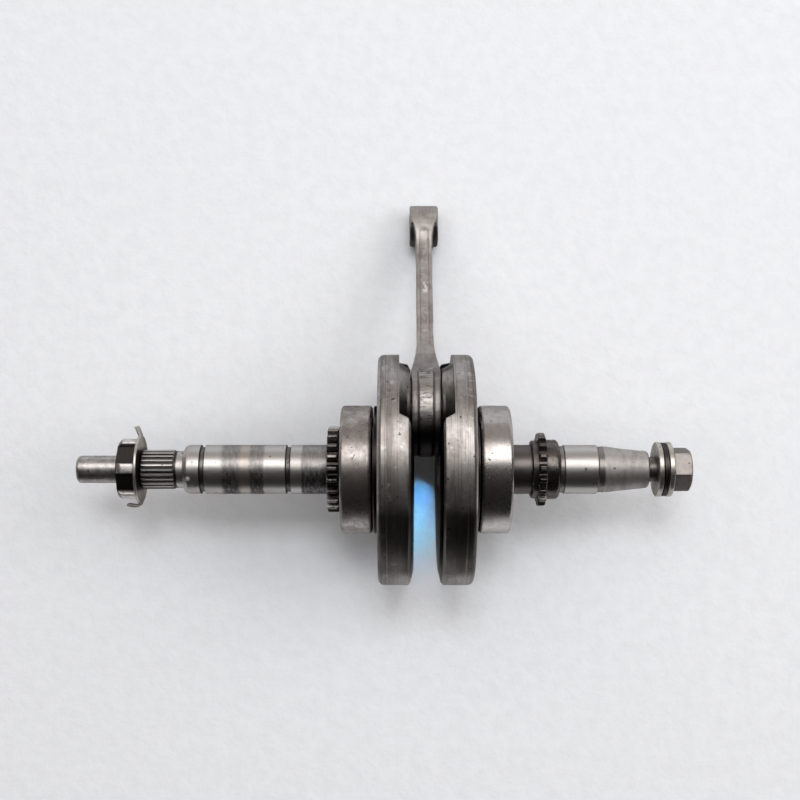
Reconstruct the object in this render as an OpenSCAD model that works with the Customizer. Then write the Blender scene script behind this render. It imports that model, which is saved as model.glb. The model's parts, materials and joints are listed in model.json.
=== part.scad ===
// Built-up crankshaft of a single-cylinder engine, with its connecting rod and main bearings.
// X runs along the shaft, from the clutch end (-X) to the flywheel taper (+X).
// The origin is on the crank axis, in the middle plane of the connecting rod.
// The rod reaches out towards +Y and its small end rests on the same plane as the web rims.

/* [Crank webs] */
// Radius of both web discs
web_r = 46.75; // [46.5:0.05:47]
// Half of the gap between the two counterweight faces
web_in = 5.0; // [4.9:0.05:5.2]
// Distance from the middle plane to the outer face of a web
web_out = 19.1; // [18.9:0.05:19.3]
// Distance from the middle plane to the floor of the crankpin recess
recess_floor = 10.6; // [10.2:0.1:11]
// Radius of the crankpin recess at its floor
recess_r = 32; // [31.6:0.1:32]
// Extra radius of the recess where it meets the counterweight face
recess_flare = 1.65; // [1.4:0.05:1.7]
// Radius of the boss around the crankpin
boss_r = 18.2; // [18:0.1:18.3]
// Half of the width left for the big end
boss_in = 6.1; // [6.1:0.02:6.2]

/* [Throw and rod] */
// Crank throw, half of the piston stroke
throw_r = 24.75; // [24.6:0.05:24.9]
// Angle of the crankpin above the +Y axis as the crank lies
pin_angle = 20; // [18:0.5:22]
// Radius of the crankpin
pin_r = 11.5; // [11.5:0.01:11.5]
// Distance between the two bores of the connecting rod
rod_length = 93.25; // [92.5:0.25:94]
// Outer radius of the big end
big_r = 17.8; // [17.6:0.05:17.8]
// Half of the big end's width
big_half = 5.9; // [5.8:0.02:5.9]
// Outer radius of the small end
eye_r = 8.9; // [8.8:0.02:9]
// Half of the small end's width
eye_half = 6.15; // [6.1:0.05:6.3]
// Radius of the small end bore
eye_bore_r = 6.5; // [6.4:0.05:6.6]
// Half of the rod beam's thickness
beam_half = 3.4; // [3.3:0.05:3.5]

/* [Main bearings] */
// Radius of the journals inside the main bearings
seat_r = 10; // [9.98:0.01:10]
// Outer radius of the main bearings
race_r = 26; // [25.9:0.05:26.1]
// Width of the main bearings
race_w = 12.8; // [12.6:0.1:13]
// Distance from the middle plane to the inner side of each main bearing
race_in = 21.3; // [21.25:0.05:21.4]
// Radius of the circle through the ball centres
ball_pitch_r = 18; // [17.9:0.05:18.1]
// Radius of one ball
ball_r = 4.76; // [4.7:0.01:4.77]
// Number of balls in each main bearing
ball_count = 7; // [6:1:7]

/* [Left shaft] */
// Distance to the end of the left journal
journal_end = 97.6; // [97:0.1:98]
// Distance to the end of the splines
spline_end = 115; // [114.8:0.1:115]
// Outer radius of the splines
spline_r = 8; // [7.9:0.05:8]
// Number of splines
spline_count = 24; // [20:1:26]
// Radius of the thread under the lock nut
thread_r = 7.4; // [7.3:0.05:7.5]
// Radius of the pilot at the left end
pilot_r = 5.6; // [5.5:0.05:5.7]
// Distance to the tip of the pilot
pilot_end = 141.6; // [141:0.1:142]
// Tip radius of the oil pump drive gear
gear_tip_r = 17.5; // [17.3:0.1:17.7]
// Number of teeth on the oil pump drive gear
gear_teeth = 22; // [20:1:24]
// Outer radius of the lock nut
nut_r = 13.3; // [13.2:0.05:13.4]
// Outer radius of the tab washer
tab_r = 15; // [14.8:0.1:15.2]

/* [Right shaft] */
// Distance to the inner side of the timing sprocket
sprocket_in = 42.8; // [42.5:0.1:43]
// Tip radius of the timing sprocket
sprocket_tip_r = 15; // [14.8:0.1:15.2]
// Number of teeth on the timing sprocket
sprocket_teeth = 18; // [16:1:20]
// Radius of the oil seal journal
seal_r = 9.95; // [9.9:0.01:9.97]
// Distance to the start of the flywheel taper
taper_in = 72.1; // [72:0.1:72.5]
// Distance to the end of the flywheel taper
taper_out = 90.4; // [90:0.1:90.6]
// Large radius of the flywheel taper
taper_r = 9.45; // [9.4:0.05:9.5]
// Small radius of the flywheel taper
taper_end_r = 7.5; // [7.4:0.05:7.6]
// Radius of the flywheel bolt's thread
bolt_r = 5; // [5:0.01:5]
// Width across the flats of the bolt's head
head_af = 16; // [15.8:0.1:16]
// Outer radius of the bolt's washers
washer_r = 11.06; // [10.9:0.02:11.2]

/* [Hidden] */
$fn = 96;

// Crankpin and rod directions
pin_y = throw_r * cos(pin_angle);
pin_z = throw_r * sin(pin_angle);
rod_dip = asin((web_r - eye_r + pin_z) / rod_length);

// Web details
boss_flare = 1.8;
rim_round_r = 2.2;
rim_round_x = 2.6;
rim_chamfer = 0.9;
draft_r = 5.6;
draft_x = 1.2;
rim_line_x = 15.2;
rim_line_w = 0.3;
rim_line_depth = 0.1;
pad_r = 26;
pad_top = race_in - 0.3;
shoulder_r = 13.4;
oil_way_r = 2.2;
pin_feed_r = 1.5;
pin_feed_x = 15;

// Crankpin details
pin_half = web_out;
pin_hollow_r = 5;
plug_r = 6.5;
plug_depth = 4;
pin_chamfer = 0.8;
oil_hole_r = 1.25;

// Big end needle bearing
needle_r = 1.47;
needle_pitch_r = 13;
needle_count = 14;
needle_half = 4.6;
cage_half = 5.6;
cage_r_in = 11.95;
cage_r_out = 14.05;
pocket_play = 0.12;
big_bore_r = 14.5;

// Rod details
rib_half = 2.7;
groove_half = 3.7;
land_drop = 0.35;
groove_drop = 0.8;
rod_chamfer = 0.5;
flash_half = 1.35;
flash_proud = 0.35;
web_half = 1.5;
root_y = 6;
neck_y = 30;
thick_y = 12.6;
thin_y = 34;
flare_start = 78;
flare_length = 18;

// Main bearing details
race_corner = 1.6;
groove_play = 0.06;
outer_shoulder_r = 20.9;
inner_shoulder_r = 15.1;
race_mid = race_in + race_w / 2;
cage_band_in = 16.3;
cage_band_out = 19.7;
cage_sheet = 0.8;
cage_play = 0.1;
rivet_r = 0.8;
rivet_head_r = 1.3;
rivet_head_h = 0.5;

// Left shaft details
gear_in = 34.9;
gear_out = 39.5;
gear_root_r = 14.4;
groove_w = 2;
groove_depth = 0.9;
groove_near = 54.4;
groove_far = 89.1;
neck_r = 7.5;
spline_in = 101.6;
spline_root_r = 7.25;
undercut_r = 6.8;
washer_in = 115.5;
tab_sheet = 1;
nut_out = 124.1;
nut_slots = 6;
nut_slot_w = 7.6;
nut_slot_depth = 2.6;
nut_turn = -5;
thread_end = 124.8;

// Right shaft details
sprocket_disc_in = 45.3;
sprocket_disc_out = 48.5;
sprocket_out = 54;
sprocket_hub_r = 12.1;
sprocket_collar_r = 11.8;
sprocket_root_r = 12.4;
seal_in = 56.2;
seal_out = 69.9;
relief_r = 9.3;
key_cutter_r = 8;
key_half_chord = 5.8;
key_w = 4;
key_x = 83;
bolt_tip = 64;
bolt_hole_end = 60;
washer_in_x = 93.6;
spring_in_x = 95.6;
flange_in_x = 97.9;
head_in = 99.9;
head_out = 107.7;
head_turn = 11;
eps = 0.5;

steel = "silver";
dark_steel = "dimgray";
forged = "gray";

// Points of an arc, from angle a0 to a1
function arc(cx, cy, rx, ry, a0, a1, n) = [
    for (i = [0:n])
        [cx + rx * cos(a0 + (a1 - a0) * i / n), cy + ry * sin(a0 + (a1 - a0) * i / n)]
];

// Outline of a toothed wheel: root, flank and tip points of each tooth
function toothed(count, root, tip, foot, crest) = [
    for (i = [0:count - 1])
        for (p = [[root, -foot], [(root + tip) / 2, -(foot + crest) * 0.42], [tip, -crest],
                  [tip, crest], [(root + tip) / 2, (foot + crest) * 0.42], [root, foot]])
            let (a = (i + p[1]) * 360 / count)
                [p[0] * cos(a), p[0] * sin(a)]
];

// A turned solid from points of radius and distance along X
module turned(profile) {
    rotate([0, 90, 0])
        rotate_extrude()
            polygon(profile);
}

module bar(x0, x1, r) {
    translate([x0, 0, 0])
        rotate([0, 90, 0])
            cylinder(h = x1 - x0, r = r);
}

module cone_bar(x0, x1, r0, r1) {
    translate([x0, 0, 0])
        rotate([0, 90, 0])
            cylinder(h = x1 - x0, r1 = r0, r2 = r1);
}

module prism(x0, x1) {
    translate([x0, 0, 0])
        rotate([90, 0, 90])
            linear_extrude(height = x1 - x0)
                children();
}

module at_pin() {
    translate([0, pin_y, pin_z])
        children();
}

module flip() {
    mirror([1, 0, 0])
        children();
}

// One web on the +X side: disc, bearing pad, recess and crankpin boss
module web() {
    profile = concat(
        [[0, web_in], [web_r - draft_r, web_in], [web_r - rim_chamfer, web_in + draft_x],
         [web_r, web_in + draft_x + rim_chamfer], [web_r, rim_line_x],
         [web_r - rim_line_depth, rim_line_x + rim_line_w / 2], [web_r, rim_line_x + rim_line_w]],
        arc(web_r - rim_round_r, web_out - rim_round_x, rim_round_r, rim_round_x, 0, 90, 4),
        [[pad_r + 0.4, web_out], [pad_r, web_out + 0.4], [pad_r, pad_top - 0.4],
         [pad_r - 0.4, pad_top], [shoulder_r + 0.5, pad_top], [shoulder_r, race_in], [0, race_in]]
    );
    difference() {
        turned(profile);
        at_pin() {
            cone_bar(web_in - eps, recess_floor, recess_r + recess_flare * 1.09, recess_r);
            bar(web_in - eps, race_in + eps, pin_r);
        }
    }
    at_pin()
        difference() {
            turned([[0, boss_in], [boss_r - 1, boss_in], [boss_r - 0.6, boss_in + 0.4],
                    [boss_r - 0.2, boss_in + 1.4], [boss_r + boss_flare, recess_floor], [0, recess_floor]]);
            bar(boss_in - eps, recess_floor + eps, pin_r);
        }
}

// The left shaft, drawn towards +X and then mirrored
module left_shaft() {
    profile = concat(
        [[0, race_in - 1], [seat_r, race_in - 1], [seat_r, groove_near],
         [seat_r - groove_depth, groove_near + 0.3], [seat_r - groove_depth, groove_near + groove_w - 0.3],
         [seat_r, groove_near + groove_w], [seat_r, groove_far],
         [seat_r - groove_depth, groove_far + 0.3], [seat_r - groove_depth, groove_far + groove_w - 0.3],
         [seat_r, groove_far + groove_w], [seat_r, journal_end - 1.6], [seat_r - 0.9, journal_end],
         [neck_r, journal_end + 0.4], [neck_r, spline_in], [spline_root_r, spline_in],
         [spline_root_r, spline_end], [undercut_r, spline_end + 0.1], [undercut_r, washer_in - 0.3],
         [thread_r, washer_in], [thread_r, thread_end - 0.8], [thread_r - 0.8, thread_end],
         [pilot_r, thread_end]],
        arc(pilot_r - 1.6, pilot_end - 1.6, 1.6, 1.6, 0, 90, 4),
        [[0, pilot_end]]
    );
    turned(profile);
    intersection() {
        prism(spline_in, spline_end)
            polygon(toothed(spline_count, spline_root_r - 0.05, spline_r, 0.33, 0.16));
        turned([[0, spline_in - eps], [spline_root_r, spline_in - eps],
                [spline_r + 0.3, spline_in + 1], [spline_r + 0.3, spline_end - 1],
                [spline_root_r, spline_end + eps], [0, spline_end + eps]]);
    }
}

// Oil way along the left shaft, its branch to the crankpin and the two journal oil holes
module left_drillings() {
    bar(pin_feed_x - 3, pilot_end + eps, oil_way_r);
    rotate([pin_angle, 0, 0])
        translate([pin_feed_x, 0, 0])
            rotate([-90, 0, 0])
                cylinder(h = throw_r - pin_r + 2, r = pin_feed_r);
    for (x = [groove_near, groove_far])
        translate([x + groove_w / 2, 0, 0])
            rotate([90, 0, 0])
                cylinder(h = seat_r + eps, r = oil_hole_r);
}

module left_crank_half() {
    color(forged)
        flip()
            difference() {
                union() {
                    web();
                    left_shaft();
                }
                left_drillings();
            }
}

// The right shaft with its seal journal, taper, empty keyway and tapped end
module right_shaft() {
    profile = [
        [0, race_in - 1], [seat_r, race_in - 1], [seat_r, sprocket_out], [9.5, sprocket_out + 0.4],
        [9.5, seal_in - 0.4], [seal_r, seal_in], [seal_r, seal_out - 0.5], [relief_r, seal_out],
        [relief_r, taper_in - 0.4], [taper_r, taper_in], [taper_end_r + 0.05, taper_out - 0.5],
        [taper_end_r - 0.5, taper_out], [0, taper_out]
    ];
    key_r = taper_r - (key_x - taper_in) * (taper_r - taper_end_r) / (taper_out - taper_in);
    key_rise = sqrt(key_cutter_r * key_cutter_r - key_half_chord * key_half_chord);
    difference() {
        turned(profile);
        translate([key_x, key_r + key_rise, -key_w / 2])
            cylinder(h = key_w, r = key_cutter_r);
        bar(bolt_hole_end, taper_out + eps, bolt_r);
    }
}

module right_crank_half() {
    color(forged) {
        web();
        right_shaft();
    }
}

// Hollow crankpin, pressed through both webs, with oil holes to the needles
module crankpin() {
    color(steel)
        at_pin()
            difference() {
                turned([[pin_hollow_r, -pin_half], [pin_r - pin_chamfer, -pin_half],
                        [pin_r, -pin_half + pin_chamfer], [pin_r, pin_half - pin_chamfer],
                        [pin_r - pin_chamfer, pin_half], [pin_hollow_r, pin_half]]);
                for (s = [-1, 1])
                    bar(min(s * (pin_half - plug_depth), s * (pin_half + eps)),
                        max(s * (pin_half - plug_depth), s * (pin_half + eps)), plug_r);
                rotate([90 + pin_angle, 0, 0])
                    cylinder(h = pin_r + eps, r = oil_hole_r);
                rotate([pin_angle - 90, 0, 0])
                    cylinder(h = pin_r + eps, r = oil_hole_r);
                translate([-pin_feed_x + 2.3, 0, 0])
                    rotate([90 + pin_angle, 0, 0])
                        cylinder(h = pin_r + eps, r = oil_hole_r);
            }
}

// Pressed steel cup that closes one end of the hollow crankpin
module pin_plug() {
    color(dark_steel)
        at_pin()
            turned([[0, pin_half - plug_depth], [plug_r, pin_half - plug_depth],
                    [plug_r, pin_half - 0.6], [plug_r - 1.1, pin_half - 0.6],
                    [plug_r - 1.1, pin_half - plug_depth + 1.2], [0, pin_half - plug_depth + 1.2]]);
}

module right_pin_plug() {
    pin_plug();
}

module left_pin_plug() {
    flip()
        pin_plug();
}

// Places a shape drawn with the rod along +Y and the big end at the origin
module at_rod() {
    at_pin()
        rotate([-rod_dip, 0, 0])
            children();
}

// Side outline of the beam, from the big end to the small end, widened by grow
module beam_outline(grow) {
    half_root = 16.7 + grow;
    half_neck = 8.1 + grow;
    half_eye = 6.2 + grow;
    side = concat(
        [for (t = [1:-0.125:0])
            [neck_y - t * (neck_y - root_y), half_neck + (half_root - half_neck) * pow(t, 1.5)]],
        arc(flare_start - 4, half_eye + 4, 13, 4, 270, 325, 5),
        [[rod_length - 1, eye_r - 0.6 + grow], [rod_length + 3, eye_r - 1 + grow]]
    );
    polygon(concat(side, [for (i = [len(side) - 1:-1:0]) [side[i][0], -side[i][1]]]));
}

// Edge outline of the beam: it flares to the width of both eyes
module edge_outline() {
    side = concat(
        [[root_y, big_half - 0.1]],
        [for (t = [1:-0.125:0])
            [thin_y - t * (thin_y - thick_y), beam_half + (big_half - 0.1 - beam_half) * t * t]],
        [for (t = [0:0.125:1])
            [flare_start + flare_length * t,
             beam_half + (eye_half - 0.1 - beam_half) * (0.35 * t + 0.65 * pow(t, 4))]]
    );
    polygon(concat(side, [for (i = [len(side) - 1:-1:0]) [side[i][0], -side[i][1]]]));
}

// Outline of the hollow on each side of the I-section beam
module hollow_outline() {
    near = neck_y + 6;
    far = flare_start - 6;
    half_near = 5.4;
    half_far = 3.8;
    polygon(concat(
        arc(near, 0, half_near, half_near, 90, 270, 12),
        arc(far, 0, half_far, half_far, -90, 90, 12)
    ));
}

module connecting_rod() {
    color(forged)
        at_rod()
            difference() {
                union() {
                    intersection() {
                        translate([0, 0, -30])
                            linear_extrude(height = 60)
                                mirror([1, -1, 0])
                                    edge_outline();
                        prism(-10, 10)
                            beam_outline(0);
                    }
                    prism(-flash_half, flash_half)
                        beam_outline(flash_proud);
                    turned([[10, -big_half], [big_r - land_drop - rod_chamfer, -big_half],
                            [big_r - land_drop, -big_half + rod_chamfer], [big_r - land_drop, -groove_half],
                            [big_r - groove_drop, -groove_half + 0.3], [big_r - groove_drop, -rib_half - 0.4],
                            [big_r, -rib_half], [big_r, rib_half], [big_r - groove_drop, rib_half + 0.4],
                            [big_r - groove_drop, groove_half - 0.3], [big_r - land_drop, groove_half],
                            [big_r - land_drop, big_half - rod_chamfer],
                            [big_r - land_drop - rod_chamfer, big_half], [10, big_half]]);
                    translate([0, rod_length, 0])
                        turned([[0, -eye_half], [eye_r - 0.6, -eye_half], [eye_r, -eye_half + 0.6],
                                [eye_r, eye_half - 0.6], [eye_r - 0.6, eye_half], [0, eye_half]]);
                }
                bar(-big_half - eps, big_half + eps, big_bore_r);
                for (s = [-1, 1])
                    cone_bar(s > 0 ? big_half - 0.5 : -big_half - 0.1, s > 0 ? big_half + 0.1 : -big_half + 0.5,
                             s > 0 ? big_bore_r - 0.1 : big_bore_r + 0.5,
                             s > 0 ? big_bore_r + 0.5 : big_bore_r - 0.1);
                translate([0, rod_length, 0])
                    bar(-eye_half - eps, eye_half + eps, eye_bore_r);
                for (s = [-1, 1])
                    prism(s > 0 ? web_half : -beam_half - eps, s > 0 ? beam_half + eps : -web_half)
                        hollow_outline();
            }
}

module needle_cage() {
    color(steel)
        at_pin()
            difference() {
                turned([[cage_r_in, -cage_half], [cage_r_out, -cage_half],
                        [cage_r_out, cage_half], [cage_r_in, cage_half]]);
                for (i = [0:needle_count - 1])
                    rotate([i * 360 / needle_count, 0, 0])
                        translate([-needle_half - pocket_play, needle_pitch_r - 3, -needle_r - pocket_play])
                            cube([2 * (needle_half + pocket_play), 6, 2 * (needle_r + pocket_play)]);
            }
}

module needle_rollers() {
    color(steel)
        at_pin()
            for (i = [0:needle_count - 1])
                rotate([i * 360 / needle_count, 0, 0])
                    translate([0, needle_pitch_r, 0])
                        bar(-needle_half, needle_half, needle_r);
}

// Main bearing pieces, drawn with the bearing's middle at the origin
module outer_race() {
    h = race_w / 2;
    difference() {
        turned(concat(
            [[outer_shoulder_r, -h + 0.4], [outer_shoulder_r + 0.4, -h]],
            arc(race_r - race_corner, -h + race_corner, race_corner, race_corner, -90, 0, 4),
            arc(race_r - race_corner, h - race_corner, race_corner, race_corner, 0, 90, 4),
            [[outer_shoulder_r + 0.4, h], [outer_shoulder_r, h - 0.4]]
        ));
        rotate([0, 90, 0])
            rotate_extrude()
                translate([ball_pitch_r, 0])
                    circle(r = ball_r + groove_play);
    }
}

module inner_race() {
    h = race_w / 2;
    difference() {
        turned([[seat_r, -h + 0.6], [seat_r + 0.6, -h], [inner_shoulder_r - 0.4, -h],
                [inner_shoulder_r, -h + 0.4], [inner_shoulder_r, h - 0.4], [inner_shoulder_r - 0.4, h],
                [seat_r + 0.6, h], [seat_r, h - 0.6]]);
        rotate([0, 90, 0])
            rotate_extrude()
                translate([ball_pitch_r, 0])
                    circle(r = ball_r + groove_play);
    }
}

module ball_ring() {
    for (i = [0:ball_count - 1])
        rotate([i * 360 / ball_count, 0, 0])
            translate([0, ball_pitch_r, 0])
                children();
}

// A ball whose poles lie along X, clear of the cage's joint plane
module ball(r) {
    rotate([0, 90, 0])
        sphere(r = r);
}

// Ribbon cage half on the +X side of the balls
module cage_ribbon() {
    difference() {
        intersection() {
            turned([[cage_band_in, 0], [cage_band_out, 0],
                    [cage_band_out, race_w / 2], [cage_band_in, race_w / 2]]);
            union() {
                turned([[cage_band_in - 1, 0], [cage_band_out + 1, 0],
                        [cage_band_out + 1, cage_sheet], [cage_band_in - 1, cage_sheet]]);
                ball_ring()
                    ball(ball_r + cage_play + cage_sheet);
            }
        }
        ball_ring()
            ball(ball_r + cage_play);
        rotate([180 / ball_count, 0, 0])
            ball_ring()
                bar(-eps, cage_sheet + eps, rivet_r);
    }
}

module rivets() {
    rotate([180 / ball_count, 0, 0])
        ball_ring()
            turned([[0, -cage_sheet - rivet_head_h], [rivet_head_r * 0.6, -cage_sheet - rivet_head_h],
                    [rivet_head_r, -cage_sheet], [rivet_r, -cage_sheet], [rivet_r, cage_sheet],
                    [rivet_head_r, cage_sheet], [rivet_head_r * 0.6, cage_sheet + rivet_head_h],
                    [0, cage_sheet + rivet_head_h]]);
}

module at_bearing(side) {
    translate([side * race_mid, 0, 0])
        children();
}

module left_outer_race() {
    color(steel)
        at_bearing(-1)
            outer_race();
}

module right_outer_race() {
    color(steel)
        at_bearing(1)
            outer_race();
}

module left_inner_race() {
    color(steel)
        at_bearing(-1)
            inner_race();
}

module right_inner_race() {
    color(steel)
        at_bearing(1)
            inner_race();
}

module left_balls() {
    color(steel)
        at_bearing(-1)
            ball_ring()
                ball(ball_r);
}

module right_balls() {
    color(steel)
        at_bearing(1)
            ball_ring()
                ball(ball_r);
}

module left_cage_outer_half() {
    color(steel)
        at_bearing(-1)
            flip()
                cage_ribbon();
}

module left_cage_inner_half() {
    color(steel)
        at_bearing(-1)
            cage_ribbon();
}

module right_cage_outer_half() {
    color(steel)
        at_bearing(1)
            cage_ribbon();
}

module right_cage_inner_half() {
    color(steel)
        at_bearing(1)
            flip()
                cage_ribbon();
}

module left_cage_rivets() {
    color(steel)
        at_bearing(-1)
            rivets();
}

module right_cage_rivets() {
    color(steel)
        at_bearing(1)
            rivets();
}

module oil_pump_drive_gear() {
    color(dark_steel)
        flip()
            difference() {
                union() {
                    intersection() {
                        prism(gear_in, gear_out)
                            rotate(4)
                                polygon(toothed(gear_teeth, gear_root_r, gear_tip_r, 0.36, 0.13));
                        turned([[0, gear_in], [gear_tip_r - 0.7, gear_in], [gear_tip_r + 0.1, gear_in + 0.8],
                                [gear_tip_r + 0.1, gear_out - 0.8], [gear_tip_r - 0.7, gear_out], [0, gear_out]]);
                    }
                    bar(race_in + race_w, gear_in + 0.2, inner_shoulder_r - 1.2);
                }
                bar(race_in, gear_out + eps, seat_r);
            }
}

module timing_sprocket() {
    color(dark_steel)
        difference() {
            union() {
                turned(concat(
                    [[0, sprocket_in], [sprocket_collar_r - 0.5, sprocket_in],
                     [sprocket_collar_r, sprocket_in + 0.5], [sprocket_collar_r, sprocket_disc_in],
                     [sprocket_root_r - 0.1, sprocket_disc_in], [sprocket_root_r - 0.1, sprocket_disc_out],
                     [sprocket_hub_r, sprocket_disc_out]],
                    arc(sprocket_hub_r - 1.6, sprocket_out - 1.6, 1.6, 1.6, 0, 90, 4),
                    [[0, sprocket_out]]
                ));
                intersection() {
                    prism(sprocket_disc_in, sprocket_disc_out)
                        rotate(5)
                            polygon(toothed(sprocket_teeth, sprocket_root_r, sprocket_tip_r, 0.36, 0.17));
                    turned([[0, sprocket_disc_in], [sprocket_tip_r - 0.9, sprocket_disc_in],
                            [sprocket_tip_r + 0.1, sprocket_disc_in + 0.9],
                            [sprocket_tip_r + 0.1, sprocket_disc_out - 0.9],
                            [sprocket_tip_r - 0.9, sprocket_disc_out], [0, sprocket_disc_out]]);
                }
            }
            bar(sprocket_in - eps, sprocket_out + eps, seat_r);
        }
}

// Tab washer: one ear bent fully over the nut, one half bent, and a tongue towards the splines
module tab_washer() {
    ear_w = 6;
    color(steel)
        flip()
            union() {
                difference() {
                    bar(washer_in, washer_in + tab_sheet, tab_r);
                    bar(washer_in - eps, washer_in + tab_sheet + eps, thread_r);
                }
                translate([washer_in, -tab_r - 0.3, -ear_w / 2])
                    cube([5.6, tab_sheet, ear_w]);
                translate([washer_in, -tab_r - 0.3, -ear_w / 2])
                    cube([tab_sheet, 2, ear_w]);
                translate([washer_in, tab_r - 1.6, -ear_w / 2])
                    rotate([0, 0, -27])
                        cube([tab_sheet, 5, ear_w]);
            }
}

module lock_nut() {
    color(dark_steel)
        flip()
            difference() {
                turned([[thread_r, washer_in + tab_sheet], [nut_r - 0.5, washer_in + tab_sheet],
                        [nut_r, washer_in + tab_sheet + 0.5], [nut_r, nut_out - 1.2],
                        [nut_r - 1.2, nut_out], [thread_r + 0.6, nut_out], [thread_r, nut_out - 0.6]]);
                for (i = [0:nut_slots - 1])
                    rotate([nut_turn + (i + 0.5) * 360 / nut_slots, 0, 0])
                        translate([washer_in, -nut_slot_w / 2, nut_r - nut_slot_depth])
                            cube([nut_out - washer_in + 1, nut_slot_w, nut_slot_depth + 2]);
            }
}

module flywheel_bolt() {
    color(dark_steel) {
        turned([[0, bolt_tip], [bolt_r - 1, bolt_tip], [bolt_r, bolt_tip + 1],
                [bolt_r, head_in], [0, head_in]]);
        intersection() {
            rotate([head_turn, 0, 0])
                prism(head_in, head_out)
                    circle(r = head_af / sqrt(3), $fn = 6);
            turned([[0, head_in], [head_af / 2 - 0.1, head_in], [head_af / 2 + 1.3, head_in + 0.4],
                    [head_af / 2 + 1.3, head_out - 0.9], [head_af / 2 - 0.5, head_out], [0, head_out]]);
        }
    }
}

module flat_ring(x0, x1) {
    difference() {
        turned([[bolt_r, x0], [washer_r - 0.25, x0], [washer_r, x0 + 0.25],
                [washer_r, x1 - 0.25], [washer_r - 0.25, x1], [bolt_r, x1]]);
        children();
    }
}

module inner_plain_washer() {
    color(steel)
        flat_ring(washer_in_x, spring_in_x);
}

module spring_washer() {
    color(dark_steel)
        flat_ring(spring_in_x, flange_in_x)
            translate([(spring_in_x + flange_in_x) / 2, -washer_r, 0])
                rotate([0, 20, 0])
                    cube([2 * washer_r, washer_r * 1.2, 1], center = true);
}

module outer_plain_washer() {
    color(steel)
        flat_ring(flange_in_x, head_in);
}

left_crank_half();
right_crank_half();
crankpin();
left_pin_plug();
right_pin_plug();
connecting_rod();
needle_cage();
needle_rollers();
left_outer_race();
left_inner_race();
left_balls();
left_cage_inner_half();
left_cage_outer_half();
left_cage_rivets();
right_outer_race();
right_inner_race();
right_balls();
right_cage_inner_half();
right_cage_outer_half();
right_cage_rivets();
oil_pump_drive_gear();
timing_sprocket();
tab_washer();
lock_nut();
flywheel_bolt();
inner_plain_washer();
spring_washer();
outer_plain_washer();
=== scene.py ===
import json
import math

import bmesh
import bpy
import numpy as np
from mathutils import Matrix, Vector, noise


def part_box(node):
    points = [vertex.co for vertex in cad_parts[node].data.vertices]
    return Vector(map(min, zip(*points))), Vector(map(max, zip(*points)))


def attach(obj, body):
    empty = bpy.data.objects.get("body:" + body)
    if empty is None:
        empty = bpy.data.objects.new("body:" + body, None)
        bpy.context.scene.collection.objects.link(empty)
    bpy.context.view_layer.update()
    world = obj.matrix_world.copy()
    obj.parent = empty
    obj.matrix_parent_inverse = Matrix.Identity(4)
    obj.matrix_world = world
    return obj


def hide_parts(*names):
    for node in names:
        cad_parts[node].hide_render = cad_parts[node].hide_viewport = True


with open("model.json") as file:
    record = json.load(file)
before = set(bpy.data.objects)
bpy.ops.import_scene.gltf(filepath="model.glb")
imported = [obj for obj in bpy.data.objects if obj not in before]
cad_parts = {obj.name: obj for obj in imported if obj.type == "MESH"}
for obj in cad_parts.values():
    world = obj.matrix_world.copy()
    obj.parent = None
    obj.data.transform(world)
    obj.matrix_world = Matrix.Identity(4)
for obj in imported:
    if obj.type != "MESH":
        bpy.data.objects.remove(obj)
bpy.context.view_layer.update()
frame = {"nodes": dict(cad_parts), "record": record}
RECORD = frame["record"]
SLOT_OF = {part["node"]: part["material_slot"] for part in RECORD["subparts"]}
JOINTS = {joint["name"]: joint for joint in RECORD["behaviour"]["joints"]}
MOUNTS = {mount["name"]: mount for mount in RECORD["mounts"]}

MM = 0.001
FLOOR_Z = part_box("left_crank_half")[0].z
FLOOR_SIZE = 14.0
SPIN_STEPS = 720
SHARP_ANGLE = math.radians(32)

# Middles of the crankpin and of the small end
PIN_AT = JOINTS["rod_swing"]["pos_m"]
EYE_AT = MOUNTS["small_end"]["pos_m"]

# Bores that fit the crank, and the rod's bores and rib, as radii
WHEEL_BORE = 10 * MM
NUT_BORE = 7.4 * MM
BIG_END_BORE = 14.5 * MM
BIG_END_RIB = 17.8 * MM
SMALL_END_BORE = 6.5 * MM

CAMERA_AT = (-0.0103, 0.0283, 0.525)
CAMERA_LENS = 57.9
CAMERA_SENSOR = 36

# Colours of bare, stained and oily steel; the near-black one is also the painted shade in crevices,
# recesses and gaps, and the pale worn one also a painted floor reflection on the races
BARE = (0.45, 0.43, 0.415, 1)
GRAZING = (0.50, 0.495, 0.49, 1)
WEAR_AND_REFLECTION = (0.68, 0.66, 0.64, 1)
STAIN = (0.20, 0.17, 0.15, 1)
OIL_AND_SHADE = (0.035, 0.031, 0.03, 1)
PLUG = (0.36, 0.34, 0.33, 1)
RACE = (0.48, 0.455, 0.44, 1)
ROLLER = (0.62, 0.61, 0.6, 1)
CAGE = (0.46, 0.43, 0.40, 1)
GEAR = (0.23, 0.215, 0.205, 1)
WASHER = (0.60, 0.57, 0.52, 1)
NUT = (0.34, 0.32, 0.30, 1)
BOLT = (0.29, 0.268, 0.256, 1)
SPRING = (0.07, 0.065, 0.062, 1)

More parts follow.
